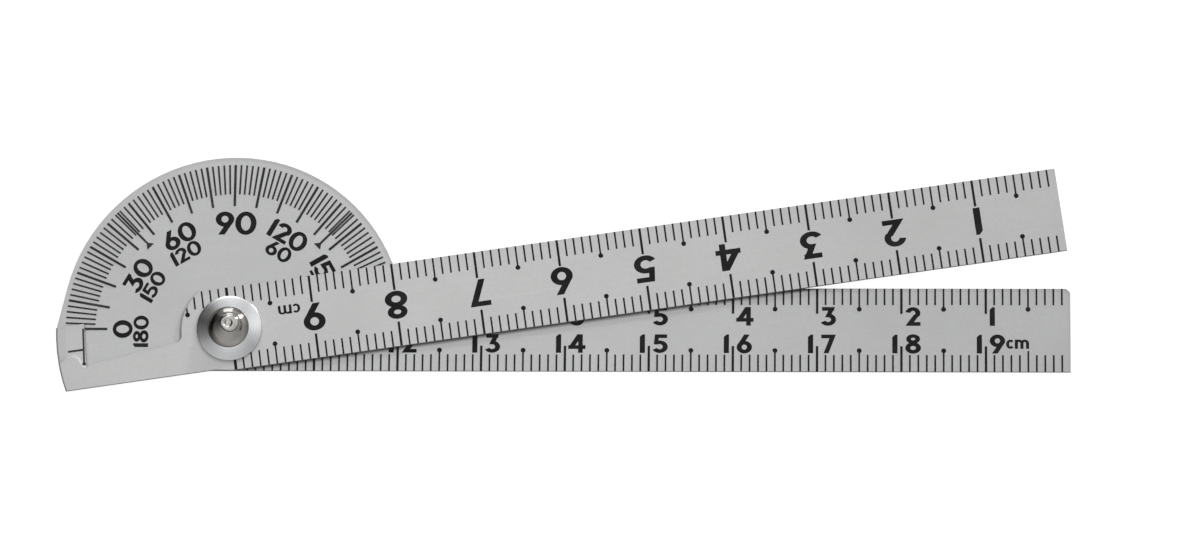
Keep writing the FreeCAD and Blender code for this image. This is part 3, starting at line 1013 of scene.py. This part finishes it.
class ANGLEFINDER_OT_stage(bpy.types.Operator):
    """Lay the pale floor, hang the soft lights and set the camera"""
    bl_idname = "anglefinder.stage"
    bl_label = "Stage"

    # Brightness of the walls by bearing in degrees
    walls = ((-180, 0.2), (-160, 0.47), (-125, 0.64), (-84, 0.6), (-30, 0.43), (0, 0.68),
             (25, 1.05), (50, 0.9), (72, 0.68), (95, 0.95), (117, 0.68), (132, 0.2), (155, 0.07),
             (180, 0.2))
    low_walls = ((-180, 0.05), (-150, 0.42), (-128, 0.62), (-60, 0.7), (-33, 0.55), (-5, 0.4),
                 (14, 0.42), (31, 0.72), (62, 0.75), (80, 1.9), (108, 2.0), (121, 1.2),
                 (134, 0.12), (152, 0.01), (180, 0.03))
    # Changes over the height or the width of the room: from, to, and the share at each
    skirting = (0.12, 0.38, 0.22, 1.0)
    wall_rise = (0.4, 0.56, 0.0, 1.0)
    ceiling_rise = (0.89, 0.98, 0.0, 1.0)
    ceiling_grey = (-0.4, 0.4, 1.3, 0.5)
    # Name, place and side in metres, and power in watts
    lamps = (("key light", (1.75, 2.15, 0.95), 0.3, 40.0),
             ("back light", (-0.4, 2.9, 0.75), 1.4, 11.0))

    def floor(self, sizes):
        """One square under the tool."""
        half = sizes.floor_size / 2
        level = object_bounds()[0][2]
        corners = ((-half, -half), (half, -half), (half, half), (-half, half))
        points = np.array([(*corner, level) for corner in corners])
        floor = add_piece("floor", points, [[0, 1, 2, 3]], pale_floor())
        floor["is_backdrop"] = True

    def light(self, name, place, size, power):
        """A soft square lamp that faces the pivot."""
        lamp = bpy.data.lights.new(name, "AREA")
        lamp.shape = "SQUARE"
        lamp.size = size
        lamp.energy = power
        holder = bpy.data.objects.new(name, lamp)
        holder.location = place
        holder.rotation_euler = (-Vector(place)).to_track_quat("-Z", "Y").to_euler()
        bpy.context.scene.collection.objects.link(holder)

    def wall_ramp(self, tree, bearing, levels):
        """The walls' grey by bearing, from pairs of degrees and brightness."""
        ramp = tree.nodes.new("ShaderNodeValToRGB")
        tree.links.new(bearing, ramp.inputs["Fac"])
        stops = ramp.color_ramp.elements
        for degrees, _ in levels[1:-1]:
            stops.new(degrees / 360 + 0.5)
        for stop, (_, level) in zip(stops, levels):
            stop.color = (level, level, level, 1)
        return ramp.outputs["Color"]

    def sky(self):
        """A studio room whose walls are dark at the left and bright at the right and behind."""
        world = bpy.data.worlds.new("studio room")
        world.use_nodes = True
        tree = world.node_tree
        direction = tree.nodes.new("ShaderNodeTexCoord")
        around = tree.nodes.new("ShaderNodeTexGradient")
        around.gradient_type = "RADIAL"
        tree.links.new(direction.outputs["Generated"], around.inputs["Vector"])
        high = self.wall_ramp(tree, around.outputs["Fac"], self.walls)
        low = self.wall_ramp(tree, around.outputs["Fac"], self.low_walls)
        split = tree.nodes.new("ShaderNodeSeparateXYZ")
        tree.links.new(direction.outputs["Generated"], split.inputs[0])
        height = split.outputs["Z"]
        low = mix_colours(tree, 1.0, low, range_node(tree, height, *self.skirting), "MULTIPLY")
        walls = mix_colours(tree, range_node(tree, height, *self.wall_rise), low, high)
        ceiling = range_node(tree, split.outputs["X"], *self.ceiling_grey)
        overhead = range_node(tree, height, *self.ceiling_rise)
        colour = mix_colours(tree, overhead, walls, ceiling)
        tree.links.new(colour, tree.nodes["Background"].inputs["Color"])
        bpy.context.scene.world = world

    def camera(self, sizes):
        """The photograph's view, from its tilt, aim and distance."""
        turn = (Matrix.Rotation(sizes.tilt_forward, 3, "X")
                @ Matrix.Rotation(sizes.tilt_sideways, 3, "Y")
                @ Matrix.Rotation(sizes.roll, 3, "Z"))
        data = bpy.data.cameras.new("photograph view")
        data.sensor_fit = "HORIZONTAL"
        data.lens = sizes.focal_pixels / PHOTO_WIDTH * data.sensor_width
        data.clip_start = 0.01
        holder = bpy.data.objects.new("photograph view", data)
        aim = Vector((sizes.aim[0], sizes.aim[1], top_of(SCALE_NODE)))
        holder.matrix_world = (Matrix.Translation(aim + turn @ Vector((0, 0, sizes.distance)))
                               @ turn.to_4x4())
        bpy.context.scene.collection.objects.link(holder)
        bpy.context.scene.camera = holder

    def execute(self, context):
        sizes = context.scene.angle_finder_stage
        self.floor(sizes)
        self.sky()
        for lamp in self.lamps:
            self.light(*lamp)
        self.camera(sizes)
        context.scene.view_settings.view_transform = "Standard"
        return {"FINISHED"}


class ANGLEFINDER_PT_panel(bpy.types.Panel):
    """Sizes, colours and steps of the angle finder"""
    bl_idname = "ANGLEFINDER_PT_panel"
    bl_label = "Angle finder"
    bl_space_type = "VIEW_3D"
    bl_region_type = "UI"
    bl_category = "Angle finder"

    def draw(self, context):
        layout = self.layout
        for operator in OPERATORS:
            layout.operator(operator.bl_idname)
        for attribute, group in GROUPS.items():
            box = layout.box()
            settings = getattr(context.scene, attribute)
            for label in group.__annotations__:
                box.prop(settings, label)


GROUPS = {
    "angle_finder_numerals": NumeralSizes,
    "angle_finder_pivot": PivotSizes,
    "angle_finder_finish": FinishColours,
    "angle_finder_stage": StageSizes,
}
OPERATORS = (
    ANGLEFINDER_OT_sheet_finish,
    ANGLEFINDER_OT_dial_numerals,
    ANGLEFINDER_OT_arm_numerals,
    ANGLEFINDER_OT_pivot,
    ANGLEFINDER_OT_stage,
)


def register():
    for shown in (*GROUPS.values(), *OPERATORS, ANGLEFINDER_PT_panel):
        bpy.utils.register_class(shown)
    for attribute, group in GROUPS.items():
        setattr(bpy.types.Scene, attribute, PointerProperty(type=group))


def unregister():
    for attribute in GROUPS:
        delattr(bpy.types.Scene, attribute)
    for shown in (ANGLEFINDER_PT_panel, *reversed(OPERATORS), *reversed(GROUPS.values())):
        bpy.utils.unregister_class(shown)


def main():
    register()
    bpy.ops.anglefinder.sheet_finish()
    bpy.ops.anglefinder.dial_numerals()
    bpy.ops.anglefinder.arm_numerals()
    bpy.ops.anglefinder.pivot()
    bpy.ops.anglefinder.stage()


if __name__ == "__main__":
    main()
